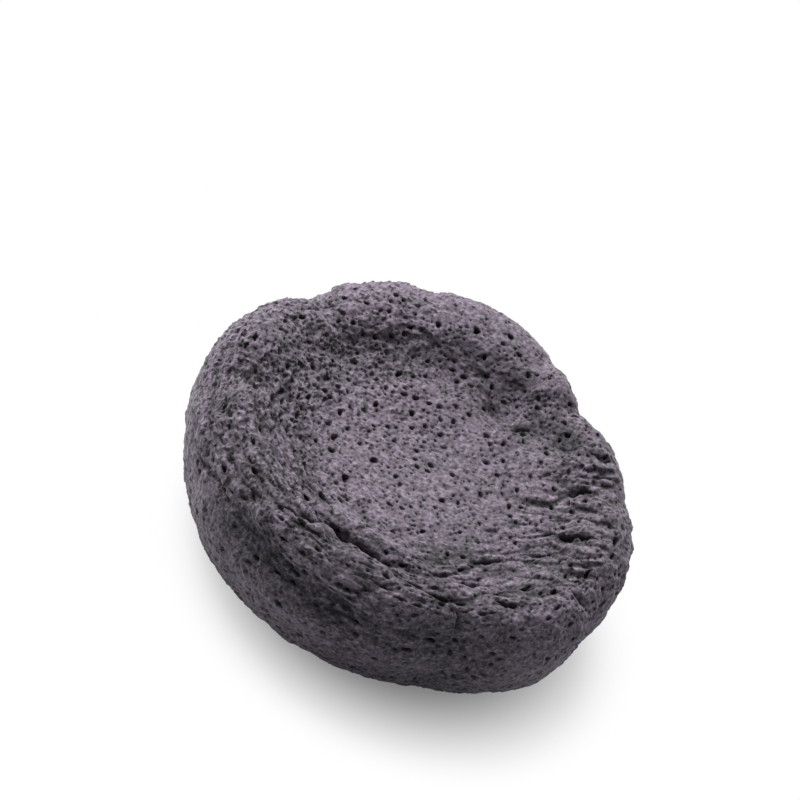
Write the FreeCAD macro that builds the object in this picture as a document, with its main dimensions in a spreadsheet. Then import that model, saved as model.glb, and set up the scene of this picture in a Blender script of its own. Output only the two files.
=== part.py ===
import FreeCAD, Part
import math
import os

# Konjac sponge: a dry, charcoal-grey puff of moulded plant-fibre foam, all in one piece.
# Z runs up through the middle of the puff and its dished face looks up. The flat of the
# underside lies on z = 0, X runs to the right and the front of the puff looks along -Y.

doc = FreeCAD.newDocument("konjac_sponge")

# Driving sizes, in millimetres.
SIZES = {
    # Over the whole puff, across the mean of its lobes and up to its highest lobes.
    "body_diameter": 80.0,
    "body_height": 26.0,
    # The flat that the puff rests on.
    "rest_diameter": 46.0,
    # The rounded rim: the rise from the widest part of the wall to the crest, how far the
    # crest lies inside the wall, how much lower it is at the front than at the back, and
    # how far it sinks where two lobes meet.
    "rim_height": 9.5,
    "rim_inset": 5.5,
    "front_drop": 1.2,
    "fold_depth": 2.4,
    # The dish in the face: its depth below the crest, its flat middle, and where that is.
    "dish_depth": 6.0,
    "dish_diameter": 18.0,
    "dish_shift_right": 2.0,
    "dish_shift_front": 4.0,
    # The foot of the rim, which the face tucks under all round, most of all at the front.
    "tuck_depth": 1.8,
    # The pinched creases of the rim: the width and the depth of the deepest.
    "crease_width": 3.0,
    "crease_depth": 2.4,
}

sheet = doc.addObject("Spreadsheet::Sheet", "sizes")
for row, (alias, value) in enumerate(SIZES.items(), start=1):
    sheet.set(f"A{row}", alias)
    sheet.set(f"B{row}", str(value))
    sheet.setAlias(f"B{row}", alias)
doc.recompute()

# The lobes: the folds between them by their share of a turn from +X towards +Y, then how
# far the outline reaches at each fold and at the middle of the lobe that follows it, as
# shares of the mean radius, how much of the fold's depth each fold has, and how much of the
# tuck's depth there is at each fold and lobe.
fold_turn_shares = (0.06, 0.15, 0.195, 0.295, 0.392, 0.53, 0.60, 0.835, 0.945)
fold_reach_shares = (0.975, 0.94, 1.03, 1.04, 0.955, 0.945, 0.93, 0.97, 1.005)
lobe_reach_shares = (0.98, 0.995, 1.09, 1.03, 0.99, 0.945, 0.985, 1.065, 1.005)
fold_dip_shares = (0.4, 1.0, 0.5, 0.15, 1.0, 0.15, 0.25, 0.3, 0.2)
fold_tuck_shares = (0.5, 0.6, 0.6, 0.55, 0.5, 0.3, 0.3, 0.8, 0.6)
lobe_tuck_shares = (0.5, 0.6, 0.6, 0.55, 0.3, 0.3, 1.0, 0.7, 0.5)

# The section, as rings from the rest face up the wall, over the rim and into the dish.
# Each wall ring has its share of the way out and up from the flat to the widest part, each
# rim ring its share of the way in and up to the crest, and each dish ring its share of the
# way in and down to the middle. Then come its shares of the lobes, of the dips in the rim,
# of the dish's shift and of the tuck.
wall_shares = {
    "rest": (0.0, 0.0, 0.0, 0.0, 0.0, 0.0),
    "heel": (0.32, 0.036, 0.2, 0.0, 0.0, 0.0),
    "foot": (0.64, 0.155, 0.4, 0.0, 0.0, 0.0),
    "belly": (0.85, 0.39, 0.65, 0.0, 0.0, 0.0),
    "flank": (0.965, 0.70, 0.85, 0.1, 0.0, 0.0),
    "girth": (1.0, 1.0, 1.0, 0.2, 0.0, 0.0),
}
rim_shares = {
    "shoulder": (0.22, 0.60, 1.05, 0.6, 0.0, 0.0),
    "crest": (1.0, 1.0, 1.0, 1.0, 0.1, 0.0),
}
dish_shares = {
    "lip": (0.16, 0.08, 0.8, 0.8, 0.2, 0.0),
    "tuck": (0.30, 0.29, 0.65, 0.6, 0.45, 1.0),
    "bank": (0.46, 0.60, 0.45, 0.4, 0.75, 0.4),
    "slope": (0.65, 0.84, 0.25, 0.2, 0.9, 0.0),
    "floor": (0.83, 0.96, 0.1, 0.05, 1.0, 0.0),
    "middle": (1.0, 1.0, 0.0, 0.0, 1.0, 0.0),
}

# The creases: where each starts and ends, as shares of a turn and of the mean radius, and
# its share of the widest and the deepest. The wedge that cuts one fills a share of the
# radius of its path.
crease_shares = {
    "front": ((0.672, 0.70), (0.765, 0.69), 1.0),
    "lip": ((0.77, 0.79), (0.842, 0.872), 0.7),
    "corner": ((0.822, 0.745), (0.882, 0.68), 0.6),
    "gather": ((0.864, 0.555), (0.93, 0.605), 0.5),
    "inner": ((0.92, 0.57), (0.965, 0.715), 0.65),
    "knuckle": ((0.885, 0.72), (0.91, 0.845), 0.6),
    "outer": ((0.929, 0.775), (0.961, 0.91), 0.6),
    "right": ((0.972, 0.55), (0.995, 0.83), 0.8),
    "back": ((0.054, 0.625), (0.052, 0.78), 0.55),
    "notch": ((0.07, 0.67), (0.074, 0.885), 0.6),
    "fold": ((0.122, 0.62), (0.105, 0.77), 0.5),
    "slope_right": ((0.272, 0.555), (0.23, 0.675), 0.35),
    "slope_back": ((0.37, 0.575), (0.29, 0.57), 0.4),
    "slope_left": ((0.425, 0.66), (0.395, 0.60), 0.35),
    "ear": ((0.432, 0.87), (0.397, 0.85), 0.4),
    "cheek": ((0.632, 0.90), (0.674, 0.88), 0.35),
    "brow": ((0.664, 0.83), (0.714, 0.81), 0.4),
    "under": ((0.85, 0.865), (0.884, 0.91), 0.4),
    "pinch": ((0.957, 0.79), (0.983, 0.905), 0.4),
}
wedge_share = 0.6


def ring_point(turn_share, reach, drop):
    """A point of a ring about its own middle, at its share of a turn."""
    turn = 2 * math.pi * turn_share
    return FreeCAD.Vector(reach * math.cos(turn), reach * math.sin(turn), -drop)


def rim_dip(turn_share, fold_share):
    """How far the rim lies below its highest level, at a share of a turn."""
    front_share = (1 - math.sin(2 * math.pi * turn_share)) / 2
    return sheet.fold_depth * fold_share + sheet.front_drop * front_share


def add_ring(name, reach, level, shares):
    """One ring of the section: an arc over each lobe, and a corner at each fold.

    The level, as a formula of the sizes, and the dish's shift put the ring in its place."""
    lobe_share, dip_share, shift_share, tuck_share = shares
    tuck = tuck_share * sheet.tuck_depth
    corners = []
    middles = []
    count = len(fold_turn_shares)
    for i in range(count):
        turn_share = fold_turn_shares[i]
        next_share = fold_turn_shares[(i + 1) % count]
        if next_share < turn_share:
            next_share += 1
        middle_share = (turn_share + next_share) / 2
        fold_reach = reach * (1 + lobe_share * (fold_reach_shares[i] - 1))
        lobe_reach = reach * (1 + lobe_share * (lobe_reach_shares[i] - 1))
        fold_drop = dip_share * rim_dip(turn_share, fold_dip_shares[i])
        lobe_drop = dip_share * rim_dip(middle_share, 0)
        fold_drop += tuck * fold_tuck_shares[i]
        lobe_drop += tuck * lobe_tuck_shares[i]
        corners.append(ring_point(turn_share, fold_reach, fold_drop))
        middles.append(ring_point(middle_share, lobe_reach, lobe_drop))
    arcs = []
    for i in range(count):
        arc = Part.Arc(corners[i], middles[i], corners[(i + 1) % count])
        arcs.append(arc.toShape())
    ring = doc.addObject("Part::Feature", f"ring_{name}")
    ring.Shape = Part.Wire(arcs)
    ring.setExpression("Placement.Base.x", f"{shift_share} * sizes.dish_shift_right")
    ring.setExpression("Placement.Base.y", f"{-shift_share} * sizes.dish_shift_front")
    ring.setExpression("Placement.Base.z", level)
    return ring


body_radius = sheet.body_diameter / 2
rest_radius = sheet.rest_diameter / 2
dish_radius = sheet.dish_diameter / 2
crest_radius = body_radius - sheet.rim_inset
girth_level = "(sizes.body_height - sizes.rim_height)"

rings = []
for name, (out_share, up_share, *shares) in wall_shares.items():
    reach = rest_radius + out_share * (body_radius - rest_radius)
    rings.append(add_ring(name, reach, f"{up_share} * {girth_level}", shares))
for name, (in_share, up_share, *shares) in rim_shares.items():
    reach = body_radius - in_share * sheet.rim_inset
    level = f"{girth_level} + {up_share} * sizes.rim_height"
    rings.append(add_ring(name, reach, level, shares))
for name, (in_share, down_share, *shares) in dish_shares.items():
    reach = crest_radius - in_share * (crest_radius - dish_radius)
    level = f"sizes.body_height - {down_share} * sizes.dish_depth"
    rings.append(add_ring(name, reach, level, shares))

puff = doc.addObject("Part::Loft", "puff")
puff.Sections = rings
puff.Solid = True
puff.MaxDegree = 2
doc.recompute()


def on_face(place):
    """The point of the puff's upper face that is plumb with a place."""
    foot = FreeCAD.Vector(place.x, place.y, 0)
    plumb = Part.makeLine(foot, foot + FreeCAD.Vector(0, 0, 2 * sheet.body_height))
    foot.z = plumb.common(puff.Shape).BoundBox.ZMax
    return foot


def add_crease(name, start, end, size_share):
    """One crease: a wedge turned along an arc that dips under the face and comes out again."""
    depth = size_share * sheet.crease_depth
    first, last = (
        on_face(ring_point(turn_share, reach_share * body_radius, 0))
        for turn_share, reach_share in (start, end)
    )
    middle = on_face((first + last) / 2)
    path = Part.Arc(first, middle - FreeCAD.Vector(0, 0, depth), last).toShape()
    hub, axle = path.Curve.Center, path.Curve.Axis
    height = wedge_share * path.Curve.Radius
    rise = (hub - first).normalize() * height
    side = axle * (height * sheet.crease_width / sheet.crease_depth / 2)
    wedge = Part.Face(Part.makePolygon([first, first + rise + side, first + rise - side, first]))
    turn = math.degrees(path.LastParameter - path.FirstParameter)
    crease = doc.addObject("Part::Feature", f"crease_{name}")
    crease.Shape = wedge.revolve(hub, axle, turn)
    return crease


creases = doc.addObject("Part::Compound", "creases")
creases.Links = [add_crease(name, *shares) for name, shares in crease_shares.items()]
body = doc.addObject("Part::Cut", "body")
body.Base = puff
body.Tool = creases
body.Label = "sponge_body"
doc.recompute()

sub_parts = [body]
for thing in doc.Objects:
    if "Invalid" in thing.State or "Error" in thing.State:
        raise RuntimeError(f"{thing.Name} did not rebuild: {thing.State}")
for thing in sub_parts:
    if thing.Shape.isNull() or not thing.Shape.isValid():
        raise RuntimeError(f"{thing.Label} is not a sound solid")

os.makedirs("parts", exist_ok=True)
for thing in sub_parts:
    thing.Shape.exportStep(f"parts/{thing.Label}.step")
    box = thing.Shape.optimalBoundingBox(False)
    print(thing.Label, [round(v, 2) for v in (box.XLength, box.YLength, box.ZLength)])
    print([round(v, 3) for v in (box.XMin, box.XMax, box.YMin, box.YMax, box.ZMin, box.ZMax)])
    print(len(thing.Shape.Solids), "solid", round(thing.Shape.Volume), "cubic millimetres")
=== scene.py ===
import math

import bpy
import numpy as np
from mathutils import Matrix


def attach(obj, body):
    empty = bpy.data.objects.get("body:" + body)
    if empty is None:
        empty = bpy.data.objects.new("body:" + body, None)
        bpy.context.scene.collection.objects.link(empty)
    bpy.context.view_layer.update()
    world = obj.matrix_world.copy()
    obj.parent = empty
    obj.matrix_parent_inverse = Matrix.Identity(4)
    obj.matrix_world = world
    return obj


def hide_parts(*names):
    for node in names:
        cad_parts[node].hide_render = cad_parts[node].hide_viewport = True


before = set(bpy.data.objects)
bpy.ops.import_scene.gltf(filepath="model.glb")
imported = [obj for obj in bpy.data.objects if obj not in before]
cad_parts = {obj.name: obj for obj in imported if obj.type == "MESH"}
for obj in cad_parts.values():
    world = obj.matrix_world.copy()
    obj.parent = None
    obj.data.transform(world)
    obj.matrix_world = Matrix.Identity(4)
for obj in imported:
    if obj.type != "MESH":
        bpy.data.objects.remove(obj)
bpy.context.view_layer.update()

import openvdb
from mathutils import Matrix, Vector
from mathutils.bvhtree import BVHTree

# The puff: one block of dry konjac foam, moulded as a thick round cake with a dished face.
# Its skin is lumpy and creased where it shrank in drying, and open pores run in from it.
# It is shaped here in millimetres, right, back and up, and turned into metres at the end.

MM = 0.001

# The puff as it comes out of the mould.
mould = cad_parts["sponge_body"].data
mould.calc_loop_triangles()
mould_points = np.zeros(3 * len(mould.vertices), np.float32)
mould.vertices.foreach_get("co", mould_points)
mould_points = mould_points.reshape(-1, 3) / MM
mould_faces = np.zeros(3 * len(mould.loop_triangles), np.int32)
mould.loop_triangles.foreach_get("vertices", mould_faces)
mould_faces = mould_faces.reshape(-1, 3).astype(np.uint32)

# The foam swells into the mould's creases and rounds them before it dries. It is held as the
# distance from its skin, on a grid that reaches some cells to each side of the skin.
mould_cell = 0.3
field_reach = 8.0
crease_fill = 1.0
rounding_passes = 6
own_share, mean_share = 0.4, 0.6


def solid_field(points, cell, **faces):
    """The distance from a closed skin, on a grid of small cells."""
    grid = openvdb.createLinearTransform(voxelSize=cell)
    return openvdb.FloatGrid.createLevelSetFromPolygons(
        points.astype(np.float32), transform=grid, halfWidth=field_reach, **faces
    )


def skin_of(field, off=0.0):
    """The points and four-sided faces of a solid's skin, or of a skin that far off it."""
    points, quads = field.convertToQuads(off)
    return points.astype(float), quads[:, ::-1].astype(np.int64)


def skin_normals(points, quads):
    """The direction straight out of the skin at each of its points."""
    across = points[quads[:, 2]] - points[quads[:, 0]]
    along = points[quads[:, 3]] - points[quads[:, 1]]
    face_normals = np.cross(across, along)
    normals = np.zeros_like(points)
    for axis in range(3):
        weights = np.repeat(face_normals[:, axis], 4)
        normals[:, axis] = np.bincount(quads.ravel(), weights, len(points))
    return normals / np.linalg.norm(normals, axis=1, keepdims=True)


def mean_around(points, quads):
    """The middle of the points that each point is joined to."""
    sides = np.vstack([quads[:, [i, (i + 1) % 4]] for i in range(4)])
    starts, ends = sides.T
    count = np.bincount(starts, minlength=len(points))
    totals = [np.bincount(starts, points[ends, axis], len(points)) for axis in range(3)]
    return np.column_stack(totals) / count[:, None]


swollen = skin_of(solid_field(mould_points, mould_cell, triangles=mould_faces), crease_fill)
swollen = solid_field(swollen[0], mould_cell, quads=swollen[1].astype(np.uint32))
skin, skin_faces = skin_of(swollen, -crease_fill)
for _ in range(rounding_passes):
    skin = own_share * skin + mean_share * mean_around(skin, skin_faces)
outward = skin_normals(skin, skin_faces)

# Creases, swells and the largest pores are placed as the photograph shows them, by its
# pixels. The view is the direction that it looks in, how far it is turned, its pixels to a
# millimetre, and the pixel where a point half way up the puff's axis lies.
view_elevation = math.radians(41.3)
view_turn = math.radians(28.3)
view_distance = 700.0
view_scale = 5.97
view_pixel = (400.4, 490.1)
view_middle = Vector((0, 0, 13.0))
view_ahead = Vector((0, math.cos(view_elevation), -math.sin(view_elevation)))
level_right = Vector((1, 0, 0))
level_up = Vector((0, math.sin(view_elevation), math.cos(view_elevation)))
view_right = math.cos(view_turn) * level_right + math.sin(view_turn) * level_up
view_up = math.cos(view_turn) * level_up - math.sin(view_turn) * level_right
view_place = view_middle - view_distance * view_ahead
skin_tree = BVHTree.FromPolygons(skin.tolist(), skin_faces.tolist())


def spot(pixel):
    """The point of the skin at a pixel of the photograph."""
    right = (pixel[0] - view_pixel[0]) / (view_scale * view_distance)
    down = (pixel[1] - view_pixel[1]) / (view_scale * view_distance)
    ray = view_ahead + right * view_right - down * view_up
    place = skin_tree.ray_cast(view_place, ray)[0]
    if place is None:
        raise ValueError(f"no skin at {pixel}")
    return np.array(place)


def from_pixel(points, pixel):
    """How far points lie from the skin at a pixel of the photograph."""
    return np.linalg.norm(points - spot(pixel), axis=1)


def mound(apart, reach):
    """Falls from 1 in the middle to nothing, most of it within its reach."""
    return np.exp(-((apart / reach) ** 2))


# Swells and dents of the puff: pixel, height and reach.
swells = (
    ((562, 378), 0.5, 4.0), ((578, 416), 0.5, 3.0), ((390, 292), -0.6, 6.0),
    ((345, 318), 0.4, 4.5), ((392, 318), 0.7, 5.0), ((440, 329), 0.8, 5.0), ((492, 352), 0.6, 4.5),
    ((350, 352), -0.6, 4.0), ((398, 362), -1.2, 4.5), ((452, 378), -1.3, 4.5), ((500, 408), -1.6, 4.0),
    ((305, 337), -0.5, 3.0), ((570, 440), -1.3, 2.8), ((538, 402), -0.5, 3.0), ((590, 463), 0.4, 2.5),
    ((598, 505), 0.4, 4.0), ((440, 590), 0.3, 3.5), ((540, 575), 0.5, 3.0), ((560, 600), 0.5, 3.0),
    ((275, 330), 0.3, 4.0), ((388, 582), -0.5, 2.4), ((248, 514), -0.9, 3.0),
    ((262, 540), -0.5, 2.5), ((330, 604), -0.8, 3.0),
    ((258, 519), 0.5, 2.6), ((278, 536), 0.8, 2.6), ((298, 551), 0.8, 2.6), ((320, 565), 0.8, 2.6),
    ((342, 578), 0.8, 2.6), ((366, 590), 0.7, 2.6), ((392, 600), 0.7, 2.6), ((420, 608), 0.7, 2.6),
    ((450, 614), 0.7, 2.6), ((480, 618), 0.5, 2.6), ((577, 540), 1.0, 1.0), ((563, 536), 0.6, 0.9),
    ((340, 520), 0.4, 2.2), ((362, 536), 0.9, 2.6), ((384, 550), 1.2, 2.6), ((404, 562), 1.2, 2.6),
)
height = np.zeros(len(skin))
for pixel, rise, reach in swells:
    height += rise * mound(from_pixel(skin, pixel), reach)

# Lumps all over, by size, height and seed. There are none on the flat that it rests on, and
# they are lower in the dish.
skin_lumps = ((9.0, 0.3, 11), (4.5, 0.28, 12), (2.2, 0.26, 13))
lump_loss_in_dish = 0.3
foot_levels = (0.0, 3.0)
dish_middle = (4.0, -3.0)
dish_reach = (14.0, 26.0)
dish_tilt = (0.6, 0.9)


def smooth(part):
    """Rounds off both ends of a rise from 0 to 1."""
    return part * part * (3 - 2 * part)


def ease(values, start, end):
    """Rises smoothly from 0 at the start to 1 at the end."""
    return smooth(np.clip((values - start) / (end - start), 0, 1))


def fall(values, start, end):
    """Falls smoothly from 1 at the start to 0 at the end."""
    return ease(-values, -end, -start)


def lumps(points, size, seed):
    """Smooth chance unevenness from -1 to 1, in lumps about one size across."""
    side = 64
    heights = np.random.default_rng(seed).uniform(-1, 1, (side, side, side))
    steps = points / size
    corner = np.floor(steps).astype(int)
    part = smooth(steps - corner)
    total = np.zeros(len(points))
    for i in (0, 1):
        for j in (0, 1):
            for k in (0, 1):
                weight = np.abs(1 - i - part[:, 0])
                weight = weight * np.abs(1 - j - part[:, 1])
                weight = weight * np.abs(1 - k - part[:, 2])
                where = (corner + (i, j, k)) % side
                total += weight * heights[where[:, 0], where[:, 1], where[:, 2]]
    return total


right, back, up = skin.T
free = ease(up, *foot_levels)
from_dish = np.hypot(right - dish_middle[0], back - dish_middle[1])
in_dish = ease(outward[:, 2], *dish_tilt) * fall(from_dish, *dish_reach)
for size, rise, seed in skin_lumps:
    height += free * rise * (1 - lump_loss_in_dish * in_dish) * lumps(skin, size, seed)

# A finer net of ridges, also by size, height and seed. It stands highest on the left and at
# the far right of the face, and the corner at the front left is smoother.
skin_net = ((1.5, 0.14, 14), (1.0, 0.12, 15))
net_top, net_fall = 0.5, 2
net_everywhere = 0.5
net_loss_in_dish = 0.5
net_loss_in_corner = 0.8
face_levels = (15.0, 20.0)
left_side = (-18.0, 4.0)
far_right = (16.0, 26.0)
corner_left = (-18.0, -8.0)
corner_front = (-14.0, -2.0)


def net(points, size, seed):
    """A net of ridges, highest along their tops and falling to the hollows between them."""
    return net_top - net_fall * np.abs(lumps(points, size, seed))


on_top = ease(up, *face_levels)
netted = net_everywhere + on_top * (fall(right, *left_side) + ease(right, *far_right))
netted -= net_loss_in_corner * on_top * fall(right, *corner_left) * fall(back, *corner_front)
for size, rise, seed in skin_net:
    height += free * rise * netted * (1 - net_loss_in_dish * in_dish) * net(skin, size, seed)

# Wrinkles, by length, width, depth and seed: narrow and winding, along the rim at the front
# and round the back, and in over it on the right, where they all lie level in the photograph.
# Their places are given by the turn from the right, in degrees, and by how far out and up.
wrinkle_rows = ((7.0, 1.3, 0.55, 21), (4.0, 0.75, 0.36, 22))
wrinkle_narrowing = 3
wrinkle_sway, sway_size = 0.8, 3.2
along_seed, level_seed = 23, 24
turn_radius = 30
rim_reach, rim_levels = (13.0, 24.0), (13.0, 19.0)
right_start, right_end, right_reach = (-85.0, -55.0), (15.0, 50.0), (33.0, 39.0)
front_turn, front_share = (-80.0, -40.0), 0.8
front_left_turn, front_left_reach, front_left_share = (-130.0, -100.0), (32.0, 37.0), 0.5
back_turn, back_reach, back_share = (30.0, 60.0), (26.0, 31.0), 0.8

# The rim and the wall bend round a core, and lengths along the skin follow from the turn round
# it, in degrees. Over the face they are a little longer than the way across it.
core_radius, core_level = 33.0, 16.0
face_spread = 1.03
wall_turns = (0.0, 5.7, 38.0, 86.0, 159.0, 193.0, 212.0, 240.0)
wall_breadths = (0.0, 1.0, 6.4, 13.1, 22.5, 30.3, 37.9, 48.0)
least_wall_turn = -60


def skin_breadth(points):
    """How far points lie from the middle of the dish, measured along the skin."""
    from_axis = np.hypot(points[:, 0], points[:, 1])
    wall_turn = np.degrees(np.arctan2(from_axis - core_radius, points[:, 2] - core_level))
    wall_turn = np.where(wall_turn < least_wall_turn, wall_turn + 360, wall_turn)
    breadth = face_spread * core_radius + np.interp(wall_turn, wall_turns, wall_breadths)
    on_face = (from_axis < core_radius) & (points[:, 2] > core_level)
    return np.where(on_face, face_spread * from_axis, breadth)


def fold_lines(along, across, seed):
    """Narrow winding lines that run one way over the skin, 1 along their middles."""
    places = np.column_stack((along, across, np.zeros(len(along))))
    return np.clip(1 - wrinkle_narrowing * np.abs(lumps(places, 1.0, seed)), 0, 1)


def wrinkles(points):
    """How deep the wrinkles are at points, in millimetres."""
    turn = np.degrees(np.arctan2(points[:, 1], points[:, 0]))
    from_axis = np.hypot(points[:, 0], points[:, 1])
    on_rim = ease(from_axis, *rim_reach) * ease(points[:, 2], *rim_levels)
    on_right = ease(turn, *right_start) * fall(turn, *right_end) * fall(from_axis, *right_reach)
    at_front = fall(turn, *front_turn)
    at_front += front_left_share * fall(turn, *front_left_turn) * fall(from_axis, *front_left_reach)
    at_front += back_share * ease(turn, *back_turn) * fall(from_axis, *back_reach)
    round_rim = turn_radius * np.radians(turn)
    sideways = points @ np.array(view_right)
    sway = skin_breadth(points) + wrinkle_sway * lumps(points, sway_size, along_seed)
    level = points @ np.array(view_up) + wrinkle_sway * lumps(points, sway_size, level_seed)
    depth = np.zeros(len(points))
    for length, width, rise, seed in wrinkle_rows:
        along_rim = fold_lines(round_rim / length, sway / width, seed)
        depth += front_share * rise * at_front * on_rim * along_rim
        in_over_rim = fold_lines(sideways / length, level / width, seed)
        depth += rise * on_right * on_rim * in_over_rim
    return depth


height -= wrinkles(skin)

# Creases: half width, depth of the soft fold, depth of the slit at the bottom of it, and the
# pixels that each runs through. The mould already has the folds of the largest.
creases = (
    (1.0, 0.9, 1.5, ((318, 511), (336, 526), (346, 538), (358, 548), (376, 558), (392, 569), (408, 578))),
    (2.4, 0.9, 0.2, ((230, 511), (250, 534), (272, 554), (294, 572))),
    (2.4, 0.9, 0.2, ((258, 542), (282, 563), (312, 586), (342, 605), (376, 623))),
    (0.9, 0.4, 1.5, ((400, 576), (412, 584), (424, 591), (446, 600), (466, 605))),
    (0.8, 0.6, 1.0, ((278, 501), (296, 511), (312, 520), (332, 528))),
    (0.6, 0.5, 0.9, ((290, 520), (305, 527), (324, 538))),
    (0.35, 0.2, 1.1, ((538, 534), (553, 531), (562, 538), (580, 537), (598, 539), (612, 543))),
    (0.6, 0.1, 1.0, ((512, 556), (528, 552), (541, 557), (552, 553), (563, 550))),
    (0.5, 0.1, 0.9, ((468, 561), (485, 559), (510, 558))),
    (0.5, 0.1, 0.9, ((448, 583), (470, 584), (484, 581))),
    (0.6, 0.1, 0.9, ((508, 586), (525, 588), (536, 585))),
    (0.6, 0.1, 0.9, ((558, 575), (575, 580), (588, 576))),
    (0.5, 0.1, 0.9, ((564, 490), (574, 494), (581, 490), (594, 492))),
    (0.6, 0.1, 0.9, ((575, 477), (590, 478), (603, 476), (612, 478), (620, 482))),
    (0.6, 0.1, 0.3, ((546, 442), (568, 446), (588, 443))),
    (0.5, 0.1, 0.8, ((574, 562), (590, 566), (602, 564))),
    (0.5, 0.1, 0.8, ((491, 600), (505, 605), (523, 609))),
    (0.5, 0.1, 0.5, ((238, 477), (256, 492), (272, 507))),
    (0.6, 0.75, 0.9, ((571, 587), (580, 597), (588, 608))),
    (0.5, 0.4, 0.6, ((557, 551), (575, 556), (591, 556))),
    (0.35, 0.3, 0.5, ((487, 575), (500, 575), (513, 572))),
    (0.4, 0.5, 0.6, ((590, 449), (600, 453), (607, 459), (615, 459))),
    (0.4, 0.4, 0.5, ((512, 430), (522, 427), (534, 430))),
    (0.35, 0.3, 0.4, ((484, 530), (497, 530), (503, 526))),
    (0.35, 0.3, 0.4, ((540, 478), (552, 471))),
    (0.4, 0.4, 0.5, ((430, 572), (444, 574), (456, 572))),
    (0.35, 0.5, 0.6, ((458, 608), (456, 634))),
    (1.0, 0.6, 0.2, ((516, 392), (535, 383), (548, 381))),
    (0.4, 0.4, 0.4, ((292, 312), (320, 309), (344, 302))),
    (0.45, 0.4, 0.4, ((193, 440), (201, 458), (212, 474), (226, 492))),
    (0.35, 0.2, 0.4, ((363, 516), (376, 524))),
    (0.35, 0.2, 0.4, ((398, 535), (409, 542))),
    (0.35, 0.3, 0.4, ((354, 529), (364, 539), (376, 548))),
    (0.35, 0.3, 0.4, ((321, 506), (332, 515), (342, 524))),
)
crease_sway, crease_sway_size, crease_sway_seed = 0.2, 1.6, 31
crease_end_share = 0.03
crease_room = 4
lean_reach = 2.5

# Over the half width of a crease: how wide its fold is, and how far out and how wide the lip
# is that stands up beside it. The lip's height is a share of the fold's depth.
fold_width = 1.3
lip_place, lip_width, lip_share = 2.6, 1.2, 0.2


class Crease:
    """A crease's path over the skin, and how near points are to it seen from straight above."""

    def __init__(self, half_width, fold_depth, slit_depth, pixels):
        self.half_width = half_width
        self.fold_depth = fold_depth
        self.slit_depth = slit_depth
        self.path = np.array([spot(pixel) for pixel in pixels])
        middle = self.path[len(self.path) // 2]
        near = np.linalg.norm(skin - middle, axis=1) < lean_reach
        above = outward[near].mean(axis=0)
        self.above = above / np.linalg.norm(above)

    def reach(self):
        """The corners of the space that it may change."""
        room = crease_room * self.half_width + self.fold_depth + self.slit_depth
        return self.path.min(axis=0) - room, self.path.max(axis=0) + room

    def in_reach(self, points):
        """Which points lie in that space."""
        lowest, highest = self.reach()
        return np.flatnonzero(np.all((points > lowest) & (points < highest), axis=1))

    def gaps(self, points):
        """How far points lie to the side, and how much of the full depth is left there."""
        ends = self.path - np.outer(self.path @ self.above, self.above)
        points = points - np.outer(points @ self.above, self.above)
        lengths = np.linalg.norm(np.diff(ends, axis=0), axis=1)
        nearest = np.full(len(points), np.inf)
        shares = np.zeros(len(points))
        gone = 0.0
        for start, end, length in zip(ends[:-1], ends[1:], lengths):
            along = np.clip((points - start) @ (end - start) / length**2, 0, 1)
            foot = start + along[:, None] * (end - start)
            apart = np.linalg.norm(points - foot, axis=1)
            nearer = apart < nearest
            nearest[nearer] = apart[nearer]
            shares[nearer] = (gone + along[nearer] * length) / lengths.sum()
            gone += length
        shares = np.clip(shares, crease_end_share, 1 - crease_end_share)
        return nearest, np.sqrt(np.sin(np.pi * shares))

    def swayed_gaps(self, points):
        """The same for a path that sways a little from side to side."""
        gaps, fade = self.gaps(points)
        return np.abs(gaps + crease_sway * lumps(points, crease_sway_size, crease_sway_seed)), fade


drawn_creases = [Crease(*values) for values in creases]
for crease in drawn_creases:
    near = crease.in_reach(skin)
    gaps, fade = crease.swayed_gaps(skin[near])
    fold = mound(gaps, fold_width * crease.half_width)
    lip = mound(gaps - lip_place * crease.half_width, lip_width * crease.half_width)
    height[near] += fade * crease.fold_depth * (lip_share * lip - fold)

skin = skin + height[:, None] * outward
skin[:, 2] = np.maximum(skin[:, 2], 0.0)
outward = skin_normals(skin, skin_faces)

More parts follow.
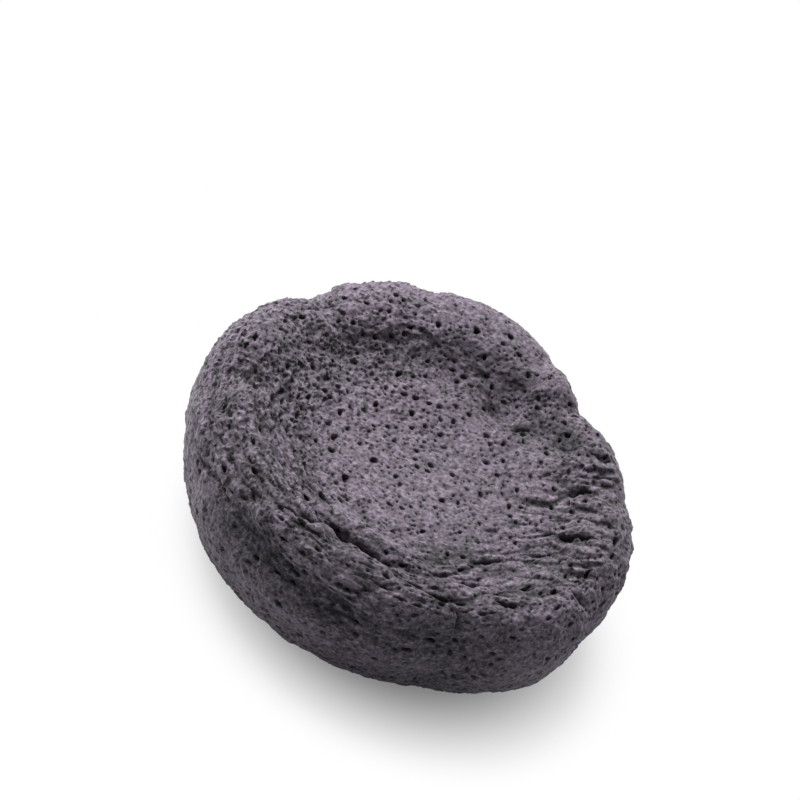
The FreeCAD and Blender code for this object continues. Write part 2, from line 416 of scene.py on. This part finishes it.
# Pores: the largest as the photograph shows them, by pixel and radius, and then smaller ones
# wherever there is room. A pore's lift is how far its middle stands out of the skin, over its
# radius.
large_pores = (
    (413, 412, 0.55), (455, 422, 0.48), (441, 434, 0.5), (417, 451, 0.42), (416, 459, 0.38),
    (418, 467, 0.42), (431, 464, 0.48), (375, 460, 0.65), (396, 440, 0.42), (352, 407, 0.55),
    (328, 424, 0.52), (350, 428, 0.46), (335, 438, 0.62), (332, 450, 0.52), (307, 466, 0.52),
    (346, 477, 0.65), (337, 481, 0.42), (397, 476, 0.42), (452, 475, 0.42), (467, 490, 0.34),
    (436, 508, 0.36), (480, 524, 0.4), (460, 532, 0.36), (487, 435, 0.5), (406, 385, 0.4),
    (428, 375, 0.42), (327, 389, 0.5), (350, 392, 0.42), (298, 416, 0.5), (430, 403, 0.42),
    (377, 404, 0.5), (317, 440, 0.44), (482, 494, 0.45), (466, 555, 0.4), (272, 397, 0.7),
    (256, 338, 0.58), (246, 345, 0.55), (266, 364, 0.5), (334, 350, 0.48), (243, 323, 0.5),
    (282, 414, 0.48), (274, 417, 0.5), (353, 323, 0.5), (344, 299, 0.42), (225, 468, 0.65),
    (199, 464, 0.55), (351, 378, 0.48), (246, 439, 0.42), (229, 371, 0.5), (278, 368, 0.46),
    (280, 351, 0.54), (477, 333, 0.6), (510, 338, 0.58), (411, 328, 0.48), (391, 338, 0.46),
    (485, 358, 0.48), (519, 356, 0.46), (487, 378, 0.44), (486, 436, 0.44), (567, 435, 0.48),
    (504, 461, 0.44), (518, 489, 0.48), (555, 488, 0.46), (568, 500, 0.56), (585, 501, 0.48),
    (574, 509, 0.46), (510, 506, 0.44), (616, 542, 0.7), (558, 521, 0.4), (564, 527, 0.44),
    (590, 574, 0.65), (555, 591, 0.5), (526, 586, 0.6), (605, 588, 0.45), (339, 585, 0.45),
    (331, 611, 0.48), (356, 622, 0.45), (375, 658, 0.46), (406, 650, 0.5), (450, 652, 0.45),
    (463, 648, 0.42), (482, 638, 0.4), (207, 510, 0.44), (223, 550, 0.42), (280, 602, 0.6),
    (285, 477, 0.6), (263, 478, 0.5), (253, 496, 0.5), (303, 522, 0.55), (285, 536, 0.42),
)
large_growth, large_gap, large_lift = 1.1, 0.0, -0.25
pore_seed = 41
pore_room = 1.7
chance = np.random.default_rng(pore_seed)
pores = []
taken = {}


def open_pore(place, normal, radius, gap, lift):
    """Notes a pore, unless one that is there stands too near."""
    cell = tuple(math.floor(value / pore_room) for value in place)
    for i in (-1, 0, 1):
        for j in (-1, 0, 1):
            for k in (-1, 0, 1):
                near = taken.get((cell[0] + i, cell[1] + j, cell[2] + k), ())
                for other, other_radius in near:
                    if math.dist(place, other) < gap * (radius + other_radius):
                        return
    pores.append((np.array(place), np.array(normal), radius, lift))
    taken.setdefault(cell, []).append((place, radius))


for across, down, radius in large_pores:
    nearest = from_pixel(skin, (across, down)).argmin()
    place = tuple(skin[nearest])
    open_pore(place, outward[nearest], large_growth * radius, large_gap, large_lift)

# The others stand close together on the left of the face and in the left of the dish, and
# fewer at the back and in the rest of the dish. In patches there are more or fewer of them.
face_tilt = (0.2, 0.7)
patch_share, patch_size, patch_seed = 0.2, 5.0, 42
back_span = (20.0, 32.0)
left_across, left_back = (-22.0, -4.0), (14.0, 28.0)
dish_right_end, dish_left_end = (-4.0, 8.0), (-24.0, -16.0)
dish_back_end, dish_front_end = (12.0, 22.0), (-16.0, -4.0)
right, back, up = skin.T
on_face = ease(outward[:, 2], *face_tilt)
on_left = fall(right, *left_across) * fall(back, *left_back) * on_face * (1 - in_dish)
patchy = patch_share * lumps(skin, patch_size, patch_seed)
at_back = ease(back, *back_span)
dish_left = fall(right, *dish_right_end) * fall(back, *dish_back_end) * ease(back, *dish_front_end)
dish_left *= ease(right, *dish_left_end) * on_face

# The share of tries that make a pore: everywhere, and how it differs where. The first of each
# pair of shares is for middling pores and the second for small ones.
pore_shares = (
    (1.0, 0.28, 0.6), (on_left, 0.1, 0.3), (in_dish, -0.16, -0.1), (dish_left, 0.2, 0.2),
    (at_back, -0.15, -0.25), (patchy, 1.0, 1.0),
)
shares = np.zeros((2, len(skin)))
for where, middling_share, small_share in pore_shares:
    shares[0] += middling_share * where
    shares[1] += small_share * where

# Tries, the smallest and the largest radius, and the gap to the next pore over both radii. On
# the left they are larger and closer together, and stand out more.
pore_sizes = ((5000, 0.36, 0.56, 1.5), (34000, 0.18, 0.3, 1.25))
pore_lifts = (-0.4, 0.2)
left_growth, left_closeness, left_lift = 0.1, 0.35, 0.25
for share, (tries, smallest, largest, gap) in zip(shares, pore_sizes):
    picks = chance.choice(len(skin), tries, replace=False)
    picks = picks[share[picks] > chance.uniform(0, 1, tries)]
    radii = chance.uniform(smallest, largest, len(picks)) * (1 + left_growth * on_left[picks])
    gaps = gap - left_closeness * on_left[picks]
    for i, pick in enumerate(picks):
        lift = chance.uniform(*pore_lifts) + left_lift * on_left[pick]
        open_pore(tuple(skin[pick].tolist()), outward[pick], float(radii[i]), gaps[i], lift)

# The pores are hollowed out of the solid. Each is a lobed bowl, long where the skin was drawn
# round the rim, and shallower in the wall. Its depth and reach are measured by its radius.
foam_cell = 0.24
rim_middle = np.array((2.0, -4.0, 0.0))
drawn_reach, drawn_front = (14.0, 28.0), (-16.0, 6.0)
drawn_tilt = (0.0, 0.5)
drawn_stretch, chance_stretch = 1.5, (0, 0.35)
pore_depths = (1.3, 2.0)
wall_depth, face_depth = 0.6, 0.4
pore_lobes = ((2, 0.16), (3, 0.14))
pore_reach = 1.5
spare_cells = 2
tiny_length = 1e-9
body = solid_field(skin, foam_cell, quads=skin_faces.astype(np.uint32))
low, high = (np.array(corner) for corner in body.evalActiveVoxelBoundingBox())
field = np.zeros(tuple(high - low + 1), np.float32)
body.copyToArray(field, ijk=tuple(int(n) for n in low))
uncut = field.copy()


def cells_between(lowest, highest):
    """The first and last cells between two corners, and where the grid keeps them."""
    first = np.maximum(np.floor(lowest / foam_cell).astype(int), low)
    last = np.minimum(np.ceil(highest / foam_cell).astype(int), high)
    return first, last, tuple(slice(a, b + 1) for a, b in zip(first - low, last - low))


for place, normal, radius, lift in pores:
    from_middle = place - rim_middle
    round_rim = np.cross((0, 0, 1), from_middle)
    round_rim = round_rim - normal * (round_rim @ normal)
    round_rim = round_rim / (np.linalg.norm(round_rim) + tiny_length)
    up_rim = np.cross(normal, round_rim)
    drawn = ease(math.hypot(from_middle[0], from_middle[1]), *drawn_reach) * fall(place[1], *drawn_front)
    stretch = 1 + drawn_stretch * drawn * ease(normal[2], *drawn_tilt) + chance.uniform(*chance_stretch)
    long_radius, short_radius = radius * math.sqrt(stretch), radius / math.sqrt(stretch)
    depth = radius * chance.uniform(*pore_depths)
    depth = depth * (wall_depth + face_depth * ease(normal[2], *face_tilt))
    phases = chance.uniform(0, 2 * math.pi, len(pore_lobes))
    centre = place + radius * lift * normal
    reach = pore_reach * max(long_radius, depth) + spare_cells * foam_cell
    first, last, where = cells_between(centre - reach, centre + reach)
    x, y, z = (
        (np.arange(a, b + 1) * foam_cell - c) for a, b, c in zip(first, last, centre)
    )
    x, y, z = x[:, None, None], y[None, :, None], z[None, None, :]
    along = (x * round_rim[0] + y * round_rim[1] + z * round_rim[2]) / long_radius
    across = (x * up_rim[0] + y * up_rim[1] + z * up_rim[2]) / short_radius
    inward = (x * normal[0] + y * normal[1] + z * normal[2]) / depth
    angle = np.arctan2(across, along)
    shape = 1
    for (lobes, swing), phase in zip(pore_lobes, phases):
        shape = shape + swing * np.cos(lobes * angle + phase)
    hollow = 1 - np.sqrt((along**2 + across**2) / shape**2 + inward**2)
    np.maximum(field[where], hollow * short_radius, out=field[where])

# So are the slits along the creases, which are uneven in depth and narrow as they go in.
slit_share, slit_swing, slit_swing_size, slit_swing_seed = 0.75, 0.45, 2.4, 32
least_slit_width, slit_width_share = 0.16, 0.3
slit_bottom = 0.3
for crease in drawn_creases:
    first, last, where = cells_between(*crease.reach())
    cells = np.stack(np.meshgrid(
        *(np.arange(a, b + 1) for a, b in zip(first, last)), indexing="ij"
    ), axis=-1)
    block = field[where]
    inside = -uncut[where]
    near = np.abs(inside) < (field_reach - 1) * foam_cell
    places = cells[near] * foam_cell
    inside = inside[near]
    gaps, fade = crease.swayed_gaps(places)
    unevenness = slit_share + slit_swing * lumps(places, slit_swing_size, slit_swing_seed)
    slit_depth = crease.slit_depth * fade * unevenness
    width = least_slit_width + slit_width_share * crease.half_width
    width = width * fade * (1 - inside / (slit_depth + slit_bottom))
    slit = np.minimum(width - gaps, slit_depth - inside)
    block[near] = np.maximum(block[near], slit)

cut = openvdb.FloatGrid(body.background)
cut.transform = body.transform
cut.copyFromArray(field, ijk=tuple(int(n) for n in low))
foam, foam_faces = skin_of(cut)

# Crumbs that the pores cut loose are dropped.
group = np.arange(len(foam))
sides = np.vstack([foam_faces[:, [i, i + 1]] for i in range(3)])
while len(sides):
    ends = group[sides]
    np.minimum.at(group, ends.max(axis=1), ends.min(axis=1))
    while not np.array_equal(group, group[group]):
        group = group[group]
    sides = sides[group[sides[:, 0]] != group[sides[:, 1]]]
kept = group == np.bincount(group).argmax()
new_place = np.cumsum(kept) - 1
foam_faces = new_place[foam_faces[kept[foam_faces[:, 0]]]]
foam = foam[kept]

# A fine grain, by size, height and seed, with small pits, most of them on the left of the rim.
skin_grain = ((0.55, 0.09, 51), (0.36, 0.06, 52))
pit_size, pit_seed, pit_depth = 0.62, 54, 0.13
pit_hollows = (0.2, 0.7)
pits_everywhere = 0.5
rim_top_levels = (16.0, 20.0)


def sample(grid_values, points):
    """A grid's values at points, from the nearest cell."""
    where = np.rint(points / foam_cell).astype(int) - low
    where = np.clip(where, 0, np.array(grid_values.shape) - 1)
    return grid_values[where[:, 0], where[:, 1], where[:, 2]]


pore_depth = -sample(uncut, foam)
foam_normals = skin_normals(foam, foam_faces)
pits = ease(-lumps(foam, pit_size, pit_seed), *pit_hollows)
pits = pits * (pits_everywhere + fall(foam[:, 0], *left_side) * ease(foam[:, 2], *rim_top_levels))
grain = np.zeros(len(foam))
for size, rise, seed in skin_grain:
    grain += rise * lumps(foam, size, seed)
grain -= pit_depth * pits
foam = foam + grain[:, None] * foam_normals
foam[:, 2] = np.maximum(foam[:, 2], 0.0)

puff_mesh = bpy.data.meshes.new("konjac_puff")
puff_mesh.vertices.add(len(foam))
puff_mesh.vertices.foreach_set("co", (foam * MM).astype(np.float32).ravel())
puff_mesh.loops.add(foam_faces.size)
puff_mesh.loops.foreach_set("vertex_index", foam_faces.astype(np.int32).ravel())
puff_mesh.polygons.add(len(foam_faces))
puff_mesh.polygons.foreach_set("loop_start", np.arange(0, foam_faces.size, 4, dtype=np.int32))
puff_mesh.polygons.foreach_set("use_smooth", np.ones(len(foam_faces), bool))
puff_mesh.update(calc_edges=True)

# The skin laid flat, as two discs side by side: the face and the wall spread out from the
# middle of the dish, and the underside.
under_level = 1.2
map_radius, under_radius = 85.0, 34.0
map_side = (map_radius + under_radius) * (1 + math.sqrt(0.5))
axis_gap = 1e-6
from_axis = np.hypot(foam[:, 0], foam[:, 1])
flat = foam[:, :2] * (skin_breadth(foam) / np.maximum(from_axis, axis_gap))[:, None]
flat_places = (flat + map_radius)[foam_faces]
under = foam[foam_faces, 2].mean(axis=1) < under_level
flat_places[under] = foam[foam_faces[under], :2] + map_side - under_radius
bake_map = puff_mesh.uv_layers.new(name="OFBake")
bake_map.data.foreach_set("uv", (flat_places / map_side).astype(np.float32).ravel())
puff_mesh.validate()

# The tone of the foam at each point, from 0 deep in a pore to 1 on a ridge, with light and
# shade painted into it: painted shade in pores, pits, wrinkles, creases and the hollows of the
# grain, painted highlights on ridges and raised grain, and painted shade that makes the wall a
# little darker than the face. The mottle is the foam's own uneven colour.
plain_tone = 0.74
pore_painted_shade = 1.1
grain_painted_shading = 0.9
mottle, mottle_size, mottle_seed = 0.1, 0.8, 53
wrinkle_painted_shade = 0.7
wall_painted_shade, wall_levels = 0.04, (14.0, 20.0)
# Painted highlight where the skin bulges out, painted shade where it dips in.
ridge = np.einsum("ij,ij->i", foam - mean_around(foam, foam_faces), foam_normals) / foam_cell
shade = plain_tone - pore_painted_shade * pore_depth + ridge + grain_painted_shading * grain
shade += mottle * lumps(foam, mottle_size, mottle_seed)
shade -= wrinkle_painted_shade * wrinkles(foam)
right, back, up = foam.T
shade -= wall_painted_shade * fall(up, *wall_levels)

# Painted shade on the wall: darkest at the front and round the back, as a shadow just under the
# rim and again low down by the floor, though less so at the lower left.
front_wall, front_wall_right, front_wall_left = (-26.0, -12.0), (24.0, 34.0), (-30.0, -20.0)
back_wall = (0.0, 14.0)
wall_reach = (32.0, 36.0)
pale_corner, pale_corner_levels, pale_corner_left = 0.6, (11.0, 16.0), (-10.0, 6.0)
under_rim_painted_shade, under_rim_levels = 0.16, (18.0, 22.5)
low_painted_shade, low_levels = 0.1, (6.0, 15.0)
shaded_wall = fall(back, *front_wall)
shaded_wall *= fall(right, *front_wall_right) * ease(right, *front_wall_left)
shaded_wall += ease(back, *back_wall)
shaded_wall *= ease(from_axis, *wall_reach)
shaded_wall *= 1 - pale_corner * fall(up, *pale_corner_levels) * fall(right, *pale_corner_left)
shade -= under_rim_painted_shade * shaded_wall * fall(up, *under_rim_levels)
shade -= low_painted_shade * shaded_wall * fall(up, *low_levels)

# Painted shade in hollows at the back right, under the rim on the left and beside the main
# crease at the front, and a painted highlight on the front rim: pixel, how much darker, and reach.
painted_shading_patches = (
    ((570, 440), 0.34, 3.0), ((500, 406), 0.26, 3.5), ((535, 385), 0.12, 4.0),
    ((258, 528), 0.18, 3.0), ((360, 570), 0.14, 2.6), ((425, 598), -0.1, 2.6),
)
for pixel, darker, reach in painted_shading_patches:
    shade -= darker * mound(from_pixel(foam, pixel), reach)

# Painted highlights on the ridges of the finest net on top of the rim, and all of its left side is paler
# too.
net_painted_highlight, net_highlight_everywhere, left_lightening = 0.1, 0.3, 0.05
net_size, _, net_seed = skin_net[-1]
to_left = fall(right, *left_side)
paler = net_painted_highlight * (net_highlight_everywhere + to_left) * net(foam, net_size, net_seed)
shade += ease(up, *rim_top_levels) * (paler + left_lightening * to_left)

# Painted shade in the bottoms of the creases, the deeper their slits the darker, up to a limit.
crease_painted_shade, full_slit_depth, dark_width = 0.22, 1.0, 0.9
for crease in drawn_creases:
    near = crease.in_reach(foam)
    gaps, fade = crease.gaps(foam[near])
    darker = crease_painted_shade * min(full_slit_depth, crease.slit_depth)
    shade[near] -= darker * fade * mound(gaps, dark_width * crease.half_width)
# The tone, with its painted light and shade, is kept on each point for the material.
shaded_tone_layer = puff_mesh.attributes.new("tone_and_painted_shade", "FLOAT", "POINT")
shaded_tone_layer.data.foreach_set("value", np.clip(shade, 0, 1).astype(np.float32))

puff = bpy.data.objects.new("konjac_puff", puff_mesh)
bpy.context.scene.collection.objects.link(puff)

# Charcoal grey foam with a breath of violet: colours from the darkest tone to the palest, and
# a broad tint over them.
tone_colours = (
    (0.0, (0.02, 0.019, 0.021)), (0.35, (0.067, 0.061, 0.07)),
    (0.72, (0.2, 0.169, 0.207)), (1.0, (0.33, 0.28, 0.345)),
)
tint_colours = ((0.35, (0.9, 0.91, 0.9)), (0.65, (1.0, 0.95, 1.0)))
speckle_values = (0.3, 0.7)
foam_finish = bpy.data.materials.new("charcoal_konjac_foam")
foam_finish.use_nodes = True
nodes = foam_finish.node_tree.nodes
links = foam_finish.node_tree.links
shader = nodes["Principled BSDF"]
shader.inputs["Specular IOR Level"].default_value = 0.25
shader.inputs["Sheen Weight"].default_value = 0.35
shader.inputs["Sheen Roughness"].default_value = 0.45
shader.inputs["Sheen Tint"].default_value = (0.85, 0.8, 0.86, 1)
# The tone with its painted light and shade, read from the points.
shaded_tone_input = nodes.new("ShaderNodeAttribute")
shaded_tone_input.attribute_name = "tone_and_painted_shade"
place_node = nodes.new("ShaderNodeTexCoord")


def coloured(value, stops):
    """The colour of a value from 0 to 1, between colours that each stand at a value."""
    node = nodes.new("ShaderNodeValToRGB")
    elements = node.color_ramp.elements
    elements[0].position = stops[0][0]
    elements[1].position = stops[-1][0]
    for position, _ in stops[1:-1]:
        elements.new(position)
    for element, (_, colour) in zip(elements, stops):
        element.color = (*colour, 1)
    links.new(value, node.inputs["Fac"])
    return node.outputs["Color"]


def speckle(scale, detail):
    """Fine chance mottling through the foam."""
    node = nodes.new("ShaderNodeTexNoise")
    node.inputs["Scale"].default_value = scale
    node.inputs["Detail"].default_value = detail
    links.new(place_node.outputs["Object"], node.inputs["Vector"])
    return node.outputs["Fac"]


def spread_between(mottling, lowest, highest):
    """Spreads a mottling's values between two others."""
    node = nodes.new("ShaderNodeMapRange")
    node.inputs["From Min"].default_value = speckle_values[0]
    node.inputs["From Max"].default_value = speckle_values[1]
    node.inputs["To Min"].default_value = lowest
    node.inputs["To Max"].default_value = highest
    links.new(mottling, node.inputs["Value"])
    return node.outputs["Result"]


def multiplied(colour, other):
    """One colour times another."""
    node = nodes.new("ShaderNodeMix")
    node.data_type = "RGBA"
    node.blend_type = "MULTIPLY"
    node.inputs["Factor"].default_value = 1.0
    links.new(colour, node.inputs["A"])
    links.new(other, node.inputs["B"])
    return node.outputs["Result"]


fibre = speckle(scale=1700.0, detail=3.0)
patches = speckle(scale=90.0, detail=2.0)
fuzz = speckle(scale=3200.0, detail=2.0)
foam_colour = coloured(shaded_tone_input.outputs["Fac"], tone_colours)
foam_colour = multiplied(foam_colour, coloured(patches, tint_colours))
foam_colour = multiplied(foam_colour, spread_between(fibre, lowest=0.68, highest=1.32))
links.new(foam_colour, shader.inputs["Base Color"])
links.new(spread_between(fibre, lowest=0.98, highest=0.84), shader.inputs["Roughness"])
bump = nodes.new("ShaderNodeBump")
bump.inputs["Strength"].default_value = 0.5
bump.inputs["Distance"].default_value = 0.1 * MM
links.new(fuzz, bump.inputs["Height"])
links.new(bump.outputs["Normal"], shader.inputs["Normal"])
puff_mesh.materials.append(foam_finish)

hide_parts("sponge_body")
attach(puff, "root")

# The floor: a plain white sheet that the puff lies on, which goes over into the white
# behind it and keeps the puff's soft shadow. Only the camera sees it brightened by a painted
# glow, from a part of the way under the puff to all of it outside the shadow; this painted light
# fades in toward a middle set to the front right of the puff, so it sets how far and how dark
# the shadow shows.
floor_radius, floor_sides = 3.0, 64
floor_colour = (0.86, 0.86, 0.87, 1)
shadow_middle = (0.007, -0.006, 0)
shadow_inside, shadow_outside = 0.02, 0.045
inside_white, outside_white = 0.16, 1.0
floor_mesh = bpy.data.meshes.new("floor")
floor_edge = [
    (floor_radius * math.cos(turn), floor_radius * math.sin(turn), 0)
    for turn in np.linspace(0, 2 * math.pi, floor_sides, endpoint=False)
]
floor_mesh.from_pydata(floor_edge, [], [tuple(range(floor_sides))])
floor = bpy.data.objects.new("floor", floor_mesh)
bpy.context.scene.collection.objects.link(floor)
floor.location = shadow_middle
floor_finish = bpy.data.materials.new("white_floor")
floor_finish.use_nodes = True
nodes = floor_finish.node_tree.nodes
links = floor_finish.node_tree.links
sheet = nodes["Principled BSDF"]
sheet.inputs["Base Color"].default_value = floor_colour
sheet.inputs["Roughness"].default_value = 0.9
sheet.inputs["Specular IOR Level"].default_value = 0.1
glow = nodes.new("ShaderNodeEmission")
glow.inputs["Strength"].default_value = 1.0
floor_place = nodes.new("ShaderNodeTexCoord")
from_shadow = nodes.new("ShaderNodeVectorMath")
from_shadow.operation = "LENGTH"
links.new(floor_place.outputs["Object"], from_shadow.inputs[0])
# Painted light: the glow's share, least around the shadow's middle, sets how far the shadow reaches and
# how dark it shows.
camera_glow_share = nodes.new("ShaderNodeMapRange")
camera_glow_share.interpolation_type = "SMOOTHSTEP"
camera_glow_share.inputs["From Min"].default_value = shadow_inside
camera_glow_share.inputs["From Max"].default_value = shadow_outside
camera_glow_share.inputs["To Min"].default_value = inside_white
camera_glow_share.inputs["To Max"].default_value = outside_white
links.new(from_shadow.outputs["Value"], camera_glow_share.inputs["Value"])
seen = nodes.new("ShaderNodeLightPath")
part_seen = nodes.new("ShaderNodeMath")
part_seen.operation = "MULTIPLY"
links.new(seen.outputs["Is Camera Ray"], part_seen.inputs[0])
links.new(camera_glow_share.outputs["Result"], part_seen.inputs[1])
blend = nodes.new("ShaderNodeMixShader")
links.new(part_seen.outputs["Value"], blend.inputs["Fac"])
links.new(sheet.outputs["BSDF"], blend.inputs[1])
links.new(glow.outputs["Emission"], blend.inputs[2])
links.new(blend.outputs["Shader"], nodes["Material Output"].inputs["Surface"])
floor_mesh.materials.append(floor_finish)

# The light: a wide soft box over the back left of the puff, and a pale room all round it,
# which is plain white to the camera and in anything that shines.
room_colour, room_strength = (0.94, 0.98, 1, 1), 0.12
box_width, box_power, box_distance = 0.9, 14.0, 0.9
box_side = Vector((-0.45, 0.52, 0.73)).normalized()
scene = bpy.context.scene
scene.view_settings.view_transform = "Standard"
world = bpy.data.worlds.new("white_room")
scene.world = world
world.use_nodes = True
nodes = world.node_tree.nodes
links = world.node_tree.links
room = nodes["Background"]
room.inputs["Color"].default_value = room_colour
room.inputs["Strength"].default_value = room_strength
behind = nodes.new("ShaderNodeBackground")
behind.inputs["Strength"].default_value = 1.0
behind.inputs["Color"].default_value = (1, 1, 1, 1)
seen = nodes.new("ShaderNodeLightPath")
any_seen = seen.outputs["Is Camera Ray"]
for kind in ("Is Glossy Ray", "Is Transmission Ray"):
    either = nodes.new("ShaderNodeMath")
    either.operation = "MAXIMUM"
    links.new(any_seen, either.inputs[0])
    links.new(seen.outputs[kind], either.inputs[1])
    any_seen = either.outputs["Value"]
blend = nodes.new("ShaderNodeMixShader")
links.new(any_seen, blend.inputs["Fac"])
links.new(room.outputs["Background"], blend.inputs[1])
links.new(behind.outputs["Background"], blend.inputs[2])
links.new(blend.outputs["Shader"], nodes["World Output"].inputs["Surface"])

soft_box = bpy.data.lights.new("soft_box", "AREA")
soft_box.shape = "DISK"
soft_box.size = box_width
soft_box.energy = box_power
soft_box_place = bpy.data.objects.new("soft_box", soft_box)
scene.collection.objects.link(soft_box_place)
soft_box_place.location = box_distance * box_side + view_middle * MM
soft_box_place.rotation_mode = "QUATERNION"
soft_box_place.rotation_quaternion = box_side.to_track_quat("Z", "Y")

# The camera: as the photograph was taken, from close in front and well above the puff, and
# turned about the way that it looks. The puff lies below the middle of the picture.
image_side = 800
camera = bpy.data.cameras.new("camera")
camera.sensor_width = 36.0
camera.lens = camera.sensor_width * view_scale * view_distance / image_side
camera_place = bpy.data.objects.new("camera", camera)
scene.collection.objects.link(camera_place)
tilt = math.atan((view_pixel[1] - image_side / 2) / (view_scale * view_distance))
aim = math.cos(tilt) * view_ahead + math.sin(tilt) * view_up
aim_up = math.cos(tilt) * view_up - math.sin(tilt) * view_ahead
camera_place.matrix_world = Matrix((
    (view_right.x, aim_up.x, -aim.x, view_place.x * MM),
    (view_right.y, aim_up.y, -aim.y, view_place.y * MM),
    (view_right.z, aim_up.z, -aim.z, view_place.z * MM),
    (0, 0, 0, 1),
))
camera.clip_start = 0.01
camera.clip_end = 20.0
scene.camera = camera_place
